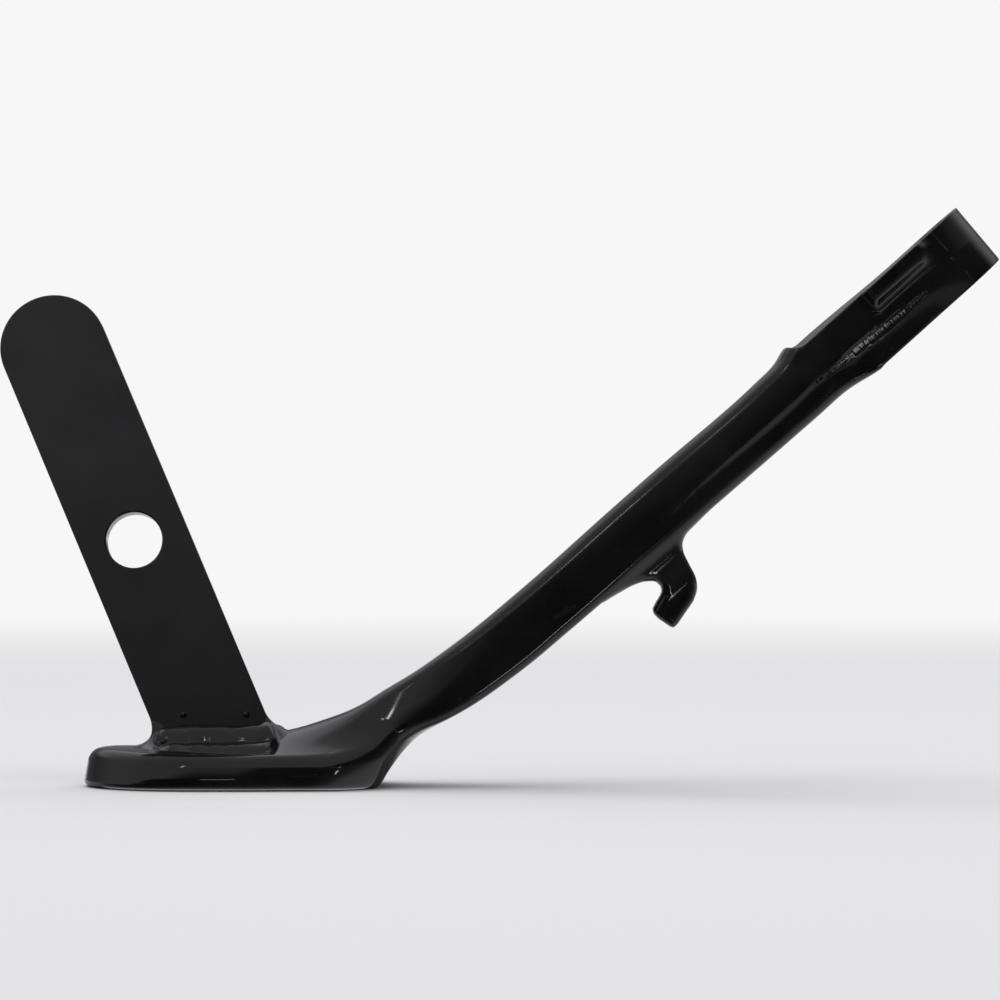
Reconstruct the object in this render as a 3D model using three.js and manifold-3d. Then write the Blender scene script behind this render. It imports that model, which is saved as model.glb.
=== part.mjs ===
// Motorcycle side stand leg: a forged leg with a pivot eye, a spring hook, a stop lug and a flat
// foot, and a round-ended flat bar tab welded on top of the foot.
// Millimetres. Origin at the centre of the pivot bore, +X from the foot towards the pivot,
// +Z up, sole level, -Y the side that carries the stop lug.

import * as THREE from 'three';
import { mergeVertices } from 'three/addons/utils/BufferGeometryUtils.js';
import Module from 'manifold-3d';

// ---- driving dimensions -------------------------------------------------------------------

const GAP = 0.3;                       // clearance kept between neighbouring pieces

// leg and eye, in leg coordinates: s along the leg from the pivot, t square to it
const LEG_ANGLE = THREE.MathUtils.degToRad(42);
const EYE_THICKNESS = 20.6;
const EYE_RADIUS_UPPER = 12.4;         // the boss tapers with the forging draft
const EYE_RADIUS_LOWER = 11.6;
const BORE_RADIUS = 6.35;
const BORE_CHAMFER = 0.7;
const RAW_TOP = 13.4;                  // forged skin above the upper machined face
const RAW_BOTTOM = -10.8;              // forged skin below the lower machined face
const UPPER_FACE_END = -50.3;          // where the upper machined face runs out, along s
const LOWER_FACE_END = -36.3;
const CUTTER_RADIUS = 5.5;
const EDGE_RADIUS = 3;                 // forged edge rounding of the shank

// foot
const SOLE_Z = -160.2;
const FOOT_THICKNESS = 11.4;
const FOOT_TIP_X = -263.6;
const FOOT_HEEL_X = -175.2;
const FOOT_HALF_DEPTH = 23;
const NOSE_LENGTH = 38;
const HEEL_LENGTH = 17;
const FOOT_EDGE_RADIUS = 3.2;
const SEAT_Z = SOLE_Z + FOOT_THICKNESS;
const SEAT_END_X = -203.0;              // run-out of the flat seat under the tab

// tab
const TAB_WIDTH = 33;
const TAB_THICKNESS = 6;
const TAB_LENGTH = 135.2;              // seat to the centre of the round end
const TAB_HOLE_RADIUS = 8.6;
const TAB_HOLE_HEIGHT = 69.3;          // seat to the hole, along the tab
const TAB_BASE_X = -221.6;
const TAB_TILT = THREE.MathUtils.degToRad(23.35);   // towards the foot's tip
const TAB_LEAN = THREE.MathUtils.degToRad(9.1);     // top away from the stop lug side
const TAB_EDGE = 0.5;

// spring hook and stop lug
const HOOK_THICKNESS = 9;
const LUG_FACE_Y = -15.4;

// weld bead around the tab
const BEAD_OUT_X = -240.6;
const BEAD_IN_X = -203.6;
const PIP_RADIUS = 0.9;
const PIP_HEIGHT = 10.3;               // above the seat
const PIP_OUT_X = -233.2;
const PIP_IN_X = -214;

// ---- materials ----------------------------------------------------------------------------

const blackPaint = (roughness) =>
  new THREE.MeshStandardMaterial({ color: 0x0b0b0c, roughness, metalness: 0.1 });

const forgingPaint = blackPaint(0.16);
const platePaint = blackPaint(0.1);
const weldPaint = blackPaint(0.22);

// ---- solids -------------------------------------------------------------------------------

const wasm = await Module();
wasm.setup();

function toSolid(geometry) {
  const bare = geometry.clone();
  bare.deleteAttribute('normal');
  bare.deleteAttribute('uv');
  const merged = mergeVertices(bare, 1e-4);
  return new wasm.Manifold(new wasm.Mesh({
    numProp: 3,
    vertProperties: new Float32Array(merged.attributes.position.array),
    triVerts: new Uint32Array(merged.index.array),
  }));
}

function toGeometry(solid) {
  const mesh = solid.getMesh();
  const geometry = new THREE.BufferGeometry();
  geometry.setAttribute('position', new THREE.BufferAttribute(mesh.vertProperties, 3));
  geometry.setIndex(new THREE.BufferAttribute(mesh.triVerts, 1));
  geometry.computeVertexNormals();
  return geometry;
}

// Skin through rings of equal point count, closed with a fan at each end.
function loft(rings) {
  const count = rings[0].length;
  const points = rings.flat();
  const first = points.length;
  points.push(centreOf(rings[0]), centreOf(rings[rings.length - 1]));
  const index = [];
  for (let i = 0; i < rings.length - 1; i += 1) {
    for (let j = 0; j < count; j += 1) {
      const a = i * count + j;
      const b = i * count + ((j + 1) % count);
      index.push(a, b, b + count, a, b + count, a + count);
    }
  }
  const last = (rings.length - 1) * count;
  for (let j = 0; j < count; j += 1) {
    const k = (j + 1) % count;
    index.push(first, k, j);
    index.push(first + 1, last + j, last + k);
  }
  const geometry = new THREE.BufferGeometry().setFromPoints(points);
  geometry.setIndex(index);
  return geometry;
}

function centreOf(ring) {
  const sum = new THREE.Vector3();
  ring.forEach((p) => sum.add(p));
  return sum.divideScalar(ring.length);
}

// A point of the leg's own coordinates in the part's XZ plane.
function onLeg(s, t) {
  const x = s * Math.cos(LEG_ANGLE) - t * Math.sin(LEG_ANGLE);
  const z = s * Math.sin(LEG_ANGLE) + t * Math.cos(LEG_ANGLE);
  return new THREE.Vector2(x, z);
}

// Extrudes an outline drawn in XZ (or s, t) through the depth from y0 to y1.
function slab(shape, y0, y1, edge = 0) {
  const geometry = new THREE.ExtrudeGeometry(shape, {
    depth: y1 - y0 - 2 * edge,
    bevelEnabled: edge > 0,
    bevelThickness: edge,
    bevelSize: edge,
    bevelOffset: -edge,
    bevelSegments: 2,
    curveSegments: 12,
  });
  geometry.rotateX(Math.PI / 2);
  geometry.translate(0, y1 - edge, 0);
  return geometry;
}

const leanWithLeg = (geometry) => geometry.rotateY(-LEG_ANGLE);

// ---- leg forging --------------------------------------------------------------------------

// Upper edge and lower edge in XZ; half depth at the upper edge, at the parting line and at the
// lower edge; how far down from the upper edge the parting line lies (0 to 1); and how far the
// lower edge's corners stand back from its middle, which rounds the heel.
const LEG_SECTIONS = [
  [onLeg(0, RAW_TOP), onLeg(0, RAW_BOTTOM), 11.4, 12, 11.4, 0.5, 0],
  [onLeg(-38, RAW_TOP), onLeg(-36, RAW_BOTTOM), 11.4, 12, 11.4, 0.5, 0],
  [onLeg(-54.5, RAW_TOP), onLeg(-41, -10.4), 11.4, 12.2, 11.4, 0.5, 0],
  [onLeg(-60, 11.8), onLeg(-49, -8.9), 11.2, 12.2, 11.2, 0.5, 0],
  [onLeg(-69, 11.3), onLeg(-62, -8.7), 11, 12, 11, 0.5, 0],
  [onLeg(-110, 12), onLeg(-110, -7.8), 11, 12, 11, 0.5, 0],
  [onLeg(-165, 12.4), onLeg(-164, -6.6), 11, 12, 11, 0.5, 0],
  [onLeg(-183, 13.2), onLeg(-181, -5.8), 10.8, 12, 11, 0.5, 0],
  [inXZ(-152, -118.1), inXZ(-142.5, -134), 10.5, 12.4, 11.2, 0.5, 0],
  [inXZ(-162.8, -125.7), inXZ(-153.4, -140.5), 10, 13.2, 11.8, 0.52, 0.5],
  [inXZ(-171.8, -131.1), inXZ(-161.4, -145), 9.4, 15.4, 13.8, 0.62, 1.5],
  [inXZ(-180.9, -136.3), inXZ(-166.6, -149.8), 8.6, 18.2, 16, 0.72, 3.5],
  [inXZ(-190, -140.2), inXZ(-170.2, -155.2), 7.8, 20.6, 18, 0.6, 5],
  [inXZ(-199.3, -143.6), inXZ(-174, -160.2), 7, 21.6, 19, 0.42, 6],
  [inXZ(-210, -144.6), inXZ(-192, -160.2), 6.4, 20.6, 18, 0.36, 2],
  [inXZ(-224, -147.2), inXZ(-210, -160.2), 6, 17.5, 16, 0.3, 0],
];
const STEPS_PER_SECTION = 3;
const DRAFT = 0.3;                     // the forged sides widen from the edges inwards

function inXZ(x, z) {
  return new THREE.Vector2(x, z);
}

// Six-sided section with rounded corners, standing in the plane through both edges and Y.
function legRing(row) {
  const [upper, lower, topHalf, midHalf, bottomHalf, part, standBack] = row;
  const height = upper.distanceTo(lower);
  const r = EDGE_RADIUS;
  const outline = new THREE.Shape();
  outline.moveTo(bottomHalf - r, standBack);
  outline.quadraticCurveTo(bottomHalf, standBack, bottomHalf + DRAFT, standBack + r);
  outline.lineTo(midHalf, height * (1 - part));
  outline.lineTo(topHalf + DRAFT, height - r);
  outline.quadraticCurveTo(topHalf, height, topHalf - r, height);
  outline.lineTo(r - topHalf, height);
  outline.quadraticCurveTo(-topHalf, height, -topHalf - DRAFT, height - r);
  outline.lineTo(-midHalf, height * (1 - part));
  outline.lineTo(-bottomHalf - DRAFT, standBack + r);
  outline.quadraticCurveTo(-bottomHalf, standBack, r - bottomHalf, standBack);
  outline.quadraticCurveTo(0, -standBack, bottomHalf - r, standBack);
  const up = upper.clone().sub(lower).normalize();
  return outline.getPoints(4).slice(1).map((p) =>
    new THREE.Vector3(lower.x + up.x * p.y, p.x, lower.y + up.y * p.y));
}

// The listed sections with smooth ones between them.
function smoothSections(rows) {
  const curveOf = (pick) => new THREE.CatmullRomCurve3(rows.map(pick), false, 'centripetal');
  const upper = curveOf((r) => new THREE.Vector3(r[0].x, r[0].y, r[2]));
  const lower = curveOf((r) => new THREE.Vector3(r[1].x, r[1].y, r[4]));
  const middle = curveOf((r) => new THREE.Vector3(r[3], 20 * r[5], r[6]));
  const steps = (rows.length - 1) * STEPS_PER_SECTION;
  const result = [];
  for (let i = 0; i <= steps; i += 1) {
    const u = upper.getPoint(i / steps);
    const l = lower.getPoint(i / steps);
    const m = middle.getPoint(i / steps);
    result.push([inXZ(u.x, u.y), inXZ(l.x, l.y), u.z, m.x, l.z, m.y / 20, m.z]);
  }
  return result;
}

function shank() {
  return toSolid(loft(smoothSections(LEG_SECTIONS).reverse().map(legRing)));
}

function eye() {
  const height = RAW_TOP - RAW_BOTTOM;
  const boss = new THREE.CylinderGeometry(EYE_RADIUS_UPPER, EYE_RADIUS_LOWER, height, 48);
  boss.rotateX(Math.PI / 2);
  boss.translate(0, 0, (RAW_TOP + RAW_BOTTOM) / 2);
  return toSolid(leanWithLeg(boss));
}

// Everything outside a machined face, with the cutter's radius at the run-out.
function faceCut(level, runOut, outward) {
  const reach = 30;
  const r = CUTTER_RADIUS;
  const outline = new THREE.Shape();
  outline.moveTo(reach, level);
  outline.lineTo(reach, level + outward * reach);
  outline.lineTo(runOut - r, level + outward * reach);
  outline.lineTo(runOut - r, level + outward * r);
  const start = Math.PI;
  outline.absarc(runOut, level + outward * r, r, start, start + outward * (Math.PI / 2), outward < 0);
  return toSolid(leanWithLeg(slab(outline, -reach, reach)));
}

function boreCut() {
  const half = EYE_THICKNESS / 2;
  const wide = BORE_RADIUS + BORE_CHAMFER;
  const profile = [
    [0, -2 * half],
    [wide, -2 * half],
    [wide, -half],
    [BORE_RADIUS, BORE_CHAMFER - half],
    [BORE_RADIUS, half - BORE_CHAMFER],
    [wide, half],
    [wide, 2 * half],
    [0, 2 * half],
  ].map(([x, y]) => new THREE.Vector2(x, y));
  const bore = new THREE.LatheGeometry(profile, 40);
  bore.rotateX(Math.PI / 2);
  return toSolid(leanWithLeg(bore));
}

function foot() {
  const outline = new THREE.Shape();
  const noseX = FOOT_TIP_X + NOSE_LENGTH;
  const heelX = FOOT_HEEL_X - HEEL_LENGTH;
  const quarter = Math.PI / 2;
  outline.absellipse(noseX, 0, NOSE_LENGTH, FOOT_HALF_DEPTH, quarter, 3 * quarter, false, 0);
  outline.absellipse(heelX, 0, HEEL_LENGTH, FOOT_HALF_DEPTH, -quarter, quarter, false, 0);
  outline.closePath();
  const edge = FOOT_EDGE_RADIUS;
  const geometry = new THREE.ExtrudeGeometry(outline, {
    depth: FOOT_THICKNESS - 2 * edge,
    bevelThickness: edge,
    bevelSize: edge,
    bevelOffset: -edge,
    bevelSegments: 4,
    curveSegments: 16,
  });
  geometry.translate(0, 0, SOLE_Z + edge);
  return toSolid(geometry);
}

// Flat seat milled on the foot for the tab, ending in a rise towards the leg.
function seatCut() {
  const box = new THREE.BoxGeometry(60, 60, 20);
  box.translate(SEAT_END_X - 30, 0, SEAT_Z + 10);
  return toSolid(box);
}

// Ground level face under the whole foot.
function soleCut() {
  const box = new THREE.BoxGeometry(140, 60, 20);
  box.translate(-210, 0, SOLE_Z - 10);
  return toSolid(box);
}

function springHook() {
  const outline = new THREE.Shape();
  outline.moveTo(-85, -70);
  outline.lineTo(-69, -72);
  outline.splineThru([[-77.8, -79.7], [-80.7, -83.6], [-81.2, -88], [-79, -93]].map(toVector));
  outline.splineThru([[-77, -97], [-76.6, -100.4], [-77.7, -104]].map(toVector));
  outline.lineTo(-82.6, -111.1);
  outline.quadraticCurveTo(-84, -112.6, -85.6, -111.4);
  outline.lineTo(-88.5, -109.4);
  outline.quadraticCurveTo(-91.2, -107, -89.3, -104.9);
  outline.quadraticCurveTo(-86.3, -99.8, -89.3, -98);
  outline.splineThru([[-92.2, -98], [-96.4, -99.2], [-100.7, -101.2], [-106, -105.2]].map(toVector));
  outline.lineTo(-104, -96);
  return toSolid(slab(outline, -HOOK_THICKNESS / 2, HOOK_THICKNESS / 2));
}

function toVector([x, z]) {
  return new THREE.Vector2(x, z);
}

function stopLug() {
  const outline = new THREE.Shape();
  const level = EYE_THICKNESS / 2;
  const radius = 4;
  const end = -2.6;
  const low = 3.4;
  outline.moveTo(-27, level);
  outline.lineTo(-20, low);
  outline.lineTo(end - radius, low);
  outline.absarc(end - radius, low + radius, radius, -Math.PI / 2, 0, false);
  outline.lineTo(end, level);
  return toSolid(leanWithLeg(slab(outline, LUG_FACE_Y, -6, 0.8)));
}

function legForging() {
  const half = EYE_THICKNESS / 2;
  return shank()
    .add(eye())
    .add(stopLug())
    .add(foot())
    .add(springHook())
    .subtract(faceCut(half, UPPER_FACE_END, 1))
    .subtract(faceCut(-half, LOWER_FACE_END, -1))
    .subtract(boreCut())
    .subtract(seatCut())
    .subtract(soleCut());
}

// ---- tab ----------------------------------------------------------------------------------

// Turns a piece drawn upright at the middle of the tab's foot into the tab's lean.
function leanWithTab(geometry) {
  geometry.rotateY(-TAB_TILT);
  geometry.rotateX(-TAB_LEAN);
  return geometry.translate(TAB_BASE_X, 0, SEAT_Z);
}

function tabPlate() {
  const half = TAB_WIDTH / 2;
  const outline = new THREE.Shape();
  outline.moveTo(-half, -10);
  outline.lineTo(half, -10);
  outline.lineTo(half, TAB_LENGTH);
  outline.absarc(0, TAB_LENGTH, half, 0, Math.PI, false);
  const hole = new THREE.Path();
  hole.absarc(0, TAB_HOLE_HEIGHT, TAB_HOLE_RADIUS, 0, 2 * Math.PI, true);
  outline.holes.push(hole);
  const plate = toSolid(leanWithTab(slab(outline, -TAB_THICKNESS / 2, TAB_THICKNESS / 2, TAB_EDGE)));
  const below = new THREE.BoxGeometry(90, 60, 30);
  below.translate(TAB_BASE_X, 0, SEAT_Z + GAP - 15);
  return plate.subtract(toSolid(below));
}

// ---- weld ---------------------------------------------------------------------------------

// Depth of the tab's face at a height above the seat; side is -1 for the lug side.
function tabFaceY(height, side) {
  return side * (TAB_THICKNESS / 2 / Math.cos(TAB_LEAN) + 0.35) + height * Math.tan(TAB_LEAN);
}

// A bead of changing section: rows of [x, [[y, height above seat], ...]].
function bead(rows) {
  return toSolid(loft(rows.map(([x, outline]) =>
    outline.map(([y, h]) => new THREE.Vector3(x, y, SEAT_Z + h)))));
}

// First pass on the lug side, against the tab.
function upperPass() {
  const row = (x, rise, crease) => [x, [
    [tabFaceY(GAP, -1), GAP],
    [tabFaceY(rise, -1), rise],
    [tabFaceY(rise, -1) - 1.6, rise * 0.72],
    [tabFaceY(GAP, -1) - crease, crease * 0.5 + 0.9],
    [tabFaceY(GAP, -1) - crease + 0.8, GAP],
  ]];
  return bead([
    row(BEAD_OUT_X, 4.6, 2.2),
    row(-236, 6.2, 3),
    row(-228, 6, 3.2),
    row(-219, 6.8, 3.4),
    row(-212, 7.8, 3.6),
    row(BEAD_IN_X, 7.4, 3.2),
  ]);
}

// Second pass on the lug side, laid along the foot and widening towards the leg.
function lowerPass() {
  const row = (x, crease, toe) => [x, [
    [tabFaceY(GAP, -1) - crease + 0.4, GAP],
    [tabFaceY(GAP, -1) - crease - GAP, crease * 0.5 + 0.5],
    [(tabFaceY(GAP, -1) - crease - toe) / 2, crease * 0.5 + 0.2],
    [-toe, GAP],
  ]];
  return bead([
    row(BEAD_OUT_X + 2, 2.8, 8),
    row(-228, 3.2, 10),
    row(-219, 3.4, 13),
    row(BEAD_IN_X, 3.2, 16),
  ]);
}

// Single pass along the back of the tab.
function rearPass() {
  const row = (x, rise, toe) => [x, [
    [tabFaceY(GAP, 1), GAP],
    [toe, GAP],
    [toe - 1, rise * 0.45],
    [tabFaceY(rise, 1) + 1.2, rise * 0.85],
    [tabFaceY(rise, 1), rise],
  ]];
  return bead([
    row(BEAD_OUT_X, 4.2, 8),
    row(-234, 5.4, 9),
    row(-216, 5.4, 9.4),
    row(BEAD_IN_X, 4.6, 8.6),
  ]);
}

// Short return of the bead round one edge of the tab, from the height base up to base + rise.
function endReturn(side, base, width, rise) {
  const edgeX = TAB_BASE_X + side * (TAB_WIDTH / 2 / Math.cos(TAB_TILT) + 0.4);
  const face = (h) => edgeX - h * Math.tan(TAB_TILT);
  const top = base + rise;
  const ring = (y) => {
    const points = [
      [face(base), base],
      [face(base) + side * width, base],
      [face(base) + side * width * 0.42, base + rise * 0.36],
      [face(top), top],
    ];
    const ordered = side < 0 ? points : points.reverse();
    return ordered.map(([x, h]) => new THREE.Vector3(x, y, SEAT_Z + h));
  };
  return toSolid(loft([ring(-1.8), ring(3)]));
}

// Small round pip of weld metal on the tab's face.
function pip(x) {
  const ball = new THREE.SphereGeometry(PIP_RADIUS, 12, 8);
  ball.translate(x, tabFaceY(PIP_HEIGHT, -1), SEAT_Z + PIP_HEIGHT);
  const solid = toSolid(ball);
  const behind = new THREE.BoxGeometry(TAB_WIDTH, TAB_THICKNESS, TAB_LENGTH);
  behind.translate(0, -GAP, TAB_LENGTH / 2);
  return solid.subtract(toSolid(leanWithTab(behind)));
}

// ---- assembly -----------------------------------------------------------------------------

const part = new THREE.Group();

function addNode(name, solid, material) {
  const mesh = new THREE.Mesh(toGeometry(solid), material.clone());
  mesh.name = name;
  part.add(mesh);
}

addNode('leg_forging', legForging(), forgingPaint);
addNode('tab_plate', tabPlate(), platePaint);
addNode('weld_front_upper_pass', upperPass(), weldPaint);
addNode('weld_front_lower_pass', lowerPass(), weldPaint);
addNode('weld_rear', rearPass(), weldPaint);
addNode('weld_end_outboard', endReturn(-1, GAP, 7.4, 4.6), weldPaint);
addNode('weld_end_inboard', endReturn(1, 5.2, 4.2, 1.5), weldPaint);
addNode('weld_pip_outboard', pip(PIP_OUT_X), weldPaint);
addNode('weld_pip_inboard', pip(PIP_IN_X), weldPaint);

export default part;
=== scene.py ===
"""Looks of a motorcycle side stand leg: a gloss-black forging with a flat bar tab welded on."""

import math

import bpy
import numpy as np
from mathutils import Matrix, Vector
from mathutils.geometry import tessellate_polygon


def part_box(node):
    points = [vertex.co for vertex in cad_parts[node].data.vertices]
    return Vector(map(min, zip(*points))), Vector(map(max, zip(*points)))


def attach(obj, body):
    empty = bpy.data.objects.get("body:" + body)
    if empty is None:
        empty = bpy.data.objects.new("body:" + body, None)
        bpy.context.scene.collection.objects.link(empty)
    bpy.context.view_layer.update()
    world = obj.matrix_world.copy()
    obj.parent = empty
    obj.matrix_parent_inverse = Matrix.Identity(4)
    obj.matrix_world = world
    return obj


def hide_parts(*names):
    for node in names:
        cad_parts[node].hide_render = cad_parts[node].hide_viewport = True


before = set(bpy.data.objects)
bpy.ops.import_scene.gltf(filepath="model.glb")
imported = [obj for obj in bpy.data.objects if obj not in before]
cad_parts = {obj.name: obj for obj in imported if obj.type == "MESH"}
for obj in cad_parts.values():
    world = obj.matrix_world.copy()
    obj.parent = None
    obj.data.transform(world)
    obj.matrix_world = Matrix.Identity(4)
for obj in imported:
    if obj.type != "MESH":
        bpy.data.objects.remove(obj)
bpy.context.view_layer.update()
MM = 0.001

# ---- small vector helpers, all in millimetres -------------------------------------------------


def smoothstep(a, b, x):
    """0 at a, 1 at b and a smooth rise between; a may be larger than b."""
    t = np.clip((x - a) / (b - a), 0.0, 1.0)
    return t * t * (3.0 - 2.0 * t)


def join_round(a, b, k):
    """Union of two distance fields with a fillet of about radius k."""
    h = np.clip(0.5 + 0.5 * (b - a) / k, 0.0, 1.0)
    return b + (a - b) * h - k * h * (1.0 - h)


def meet_soft(a, b, k):
    """Intersection of two distance fields that meet at a slight angle, softened over k."""
    return -join_round(-a, -b, k)


def cut_round(a, b, r):
    """Intersection of two distance fields with the edge rounded to radius r."""
    ra, rb = np.maximum(a + r, 0.0), np.maximum(b + r, 0.0)
    return np.minimum(-r, np.maximum(a, b)) + np.sqrt(ra * ra + rb * rb)


def bump_noise(p, scale, seed):
    """Smooth value noise of about -1 to 1 at the points p, with cells of the given size."""
    q = p / scale
    base = np.floor(q).astype(np.int64)
    f = q - base
    f = f * f * (3.0 - 2.0 * f)
    total = 0.0
    for dx in (0, 1):
        for dy in (0, 1):
            for dz in (0, 1):
                c = base + np.array([dx, dy, dz])
                # an integer hash of the cell's corner, then a value of -1 to 1
                h = (c[..., 0] * 73856093) ^ (c[..., 1] * 19349663) ^ (c[..., 2] * 83492791)
                h = (h ^ (seed * 2654435761)) & 0x7FFFFFFF
                h = (h * 1103515245 + 12345) & 0x7FFFFFFF
                h = (h ^ (h >> 13)) & 0xFFFF
                value = h / 32767.5 - 1.0
                wx = f[..., 0] if dx else 1.0 - f[..., 0]
                wy = f[..., 1] if dy else 1.0 - f[..., 1]
                wz = f[..., 2] if dz else 1.0 - f[..., 2]
                total = total + value * wx * wy * wz
    return total


def spline(keys, values, at):
    """Cubic curve through values at the increasing keys (non-uniform Catmull-Rom)."""
    keys = np.asarray(keys, float)
    values = np.asarray(values, float)
    slope = np.gradient(values, keys, axis=0)
    i = np.clip(np.searchsorted(keys, at, side="right") - 1, 0, len(keys) - 2)
    span = keys[i + 1] - keys[i]
    t = (at - keys[i]) / span
    if values.ndim > 1:
        t, span = t[..., None], span[..., None]
    a = 2 * t**3 - 3 * t**2 + 1
    b = t**3 - 2 * t**2 + t
    c = -2 * t**3 + 3 * t**2
    d = t**3 - t**2
    return a * values[i] + b * span * slope[i] + c * values[i + 1] + d * span * slope[i + 1]


# ---- the leg forging --------------------------------------------------------------------------

# The leg rises at this angle: s runs along it from the bore's axis, t across it, upwards.
LEG = math.radians(42)
C, S = math.cos(LEG), math.sin(LEG)
# Heights of the sole and of the flat seat under the tab.
SOLE = -160.2
SEAT = -148.8


def on_leg(s, t):
    """X and Z of the point s mm along the leg and t mm across it."""
    return (s * C - t * S, s * S + t * C)


# Upper edge and lower edge (X, Z), half depth at the upper edge, at the widest line and at the
# lower edge, how far down the widest line is (0 to 1), how far the lower edge stands back at
# its corners, the radius along the upper and the lower edges, and how soft the widest line is.
ROWS = [
    [on_leg(18, 13.4), on_leg(18, -10.8), 12.3, 12.0, 11.6, 0.5, 0, 1.0, 0.5, 0.3],
    [on_leg(-3, 13.4), on_leg(-3, -10.8), 12.2, 12.0, 11.6, 0.5, 0, 1.0, 0.5, 0.3],
    [on_leg(-14, 13.4), on_leg(-14, -10.8), 11.5, 12.0, 11.4, 0.56, 0, 2.4, 0.6, 0.4],
    [on_leg(-38, 13.4), on_leg(-36, -10.8), 11.1, 12.1, 11.2, 0.58, 0, 2.6, 0.7, 0.4],
    [on_leg(-54.5, 13.4), on_leg(-41, -10.4), 11.0, 12.2, 11.2, 0.58, 0, 3.2, 1.6, 0.4],
    [on_leg(-60, 11.8), on_leg(-49, -8.9), 10.8, 12.2, 11.0, 0.58, 0, 3.4, 3.0, 0.45],
    [on_leg(-69, 11.3), on_leg(-62, -8.7), 10.7, 12.0, 10.9, 0.58, 0, 3.4, 3.2, 0.45],
    [on_leg(-110, 12), on_leg(-110, -7.8), 10.7, 12.0, 10.9, 0.58, 0, 3.4, 3.2, 0.45],
    [on_leg(-126, 12.2), on_leg(-126, -7.3), 10.7, 12.0, 11.0, 0.60, 0, 3.4, 3.2, 0.8],
    [on_leg(-162, 12.4), on_leg(-161, -6.6), 10.8, 12.1, 11.5, 0.74, 0, 3.3, 3.2, 1.6],
    [on_leg(-183, 13.2), on_leg(-181, -5.8), 10.7, 12.2, 11.8, 0.78, 0, 3.0, 3.2, 1.6],
    [(-152, -118.1), (-142.5, -134), 10.6, 12.5, 12.1, 0.78, 0, 2.7, 3.2, 1.2],
    [(-162.8, -125.7), (-153.4, -140.5), 10.2, 12.9, 12.5, 0.78, 0.5, 2.2, 3.2, 1.2],
    [(-171.8, -131.1), (-161.2, -145), 9.8, 13.4, 13.0, 0.76, 2.5, 2.6, 3.4, 1.5],
    [(-180.9, -136.7), (-166.4, -149.8), 8.8, 14.2, 13.6, 0.72, 4.0, 3.4, 3.6, 2.0],
    [(-190, -141.2), (-170.4, -155.2), 7.0, 15.0, 13.6, 0.66, 5.0, 4.4, 4.0, 2.5],
    [(-199.3, -146.2), (-174.0, -160.2), 5.8, 15.0, 13.0, 0.60, 5.0, 4.0, 4.0, 1.5],
    [(-210, -149.6), (-192, -160.2), 5.0, 15.0, 15.6, 0.5, 3, 3.0, 2.0, 0.6],
    [(-224, -150.6), (-212, -160.2), 5.0, 15.0, 15.6, 0.5, 0, 3.0, 2.0, 0.6],
    [(-246, -150.6), (-242, -160.2), 5.0, 15.0, 15.6, 0.5, 0, 3.0, 2.0, 0.6],
    [(-270, -150.6), (-270, -160.2), 5.0, 15.0, 15.6, 0.5, 0, 3.0, 2.0, 0.6],
]


def station_table(pitch=0.25, reach=16, softness=1.3):
    """ROWS as smooth curves of the distance along the leg, sampled every pitch mm."""
    upper = np.array([r[0] for r in ROWS], float)
    lower = np.array([r[1] for r in ROWS], float)
    rest = np.array([r[2:] for r in ROWS], float)
    middle = (upper + lower) / 2
    steps = np.hypot(*np.diff(middle, axis=0).T)
    keys = np.concatenate([[0], np.cumsum(steps)])
    fine = np.arange(0, keys[-1], pitch)
    table = spline(keys, np.hstack([upper, lower, rest]), fine)
    kernel = np.exp(-0.5 * (np.arange(-reach, reach + 1) * pitch / softness) ** 2)
    kernel /= kernel.sum()
    padded = np.pad(table, ((reach, reach), (0, 0)), mode="reflect", reflect_type="odd")
    return fine, np.stack([np.convolve(column, kernel, "valid") for column in padded.T], 1)


STATIONS, TABLE = station_table()


def at_station(u):
    """The values of ROWS at the distances u along the leg."""
    flat = np.asarray(u, float).ravel()
    out = np.empty((flat.size, TABLE.shape[1]))
    for c in range(TABLE.shape[1]):
        out[:, c] = np.interp(flat, STATIONS, TABLE[:, c])
    return out.reshape(np.shape(u) + (TABLE.shape[1],))


def place(u, v):
    """X and Z of the point v mm below the upper edge on the section line at u."""
    row = at_station(u)
    ux, uz, lx, lz = (row[..., i] for i in range(4))
    h = np.hypot(lx - ux, lz - uz)
    return ux + (lx - ux) / h * v, uz + (lz - uz) / h * v, h, row


# The drafted sides are partly straight and partly bowed; upper and lower edges are crowned.
STRAIGHT, BOWED, CROWN = 0.6, 0.4, 0.25


def section(v, y, h, row):
    """Distance to the forged section: drafted sides, rounded corners, light crown all round."""
    top, mid, bottom, part, back, r_top, r_low, r_mid = (row[..., i] for i in range(4, 12))
    line = part * h
    up = (line - v) / line
    down = (v - line) / (h - line)
    bow_up, bow_down = np.clip(up, 0, 1.3), np.clip(down, 0, 1.3)
    side_up = mid - (mid - top) * (STRAIGHT * up + BOWED * bow_up**2)
    side_down = mid - (mid - bottom) * (STRAIGHT * down + BOWED * bow_down**2)
    lean_up = (mid - top) / line * (STRAIGHT + 2 * BOWED * bow_up)
    lean_down = (mid - bottom) / (h - line) * (STRAIGHT + 2 * BOWED * bow_down)
    depth = np.abs(y)
    side = meet_soft(
        (depth - side_up) / np.sqrt(1 + lean_up**2),
        (depth - side_down) / np.sqrt(1 + lean_down**2),
        r_mid,
    )
    roll = (y / np.maximum(mid, 1.0)) ** 2
    above = -v + CROWN * roll
    below = v - h + (CROWN + back) * roll
    return cut_round(cut_round(side, above, r_top), below, r_low)


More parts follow.
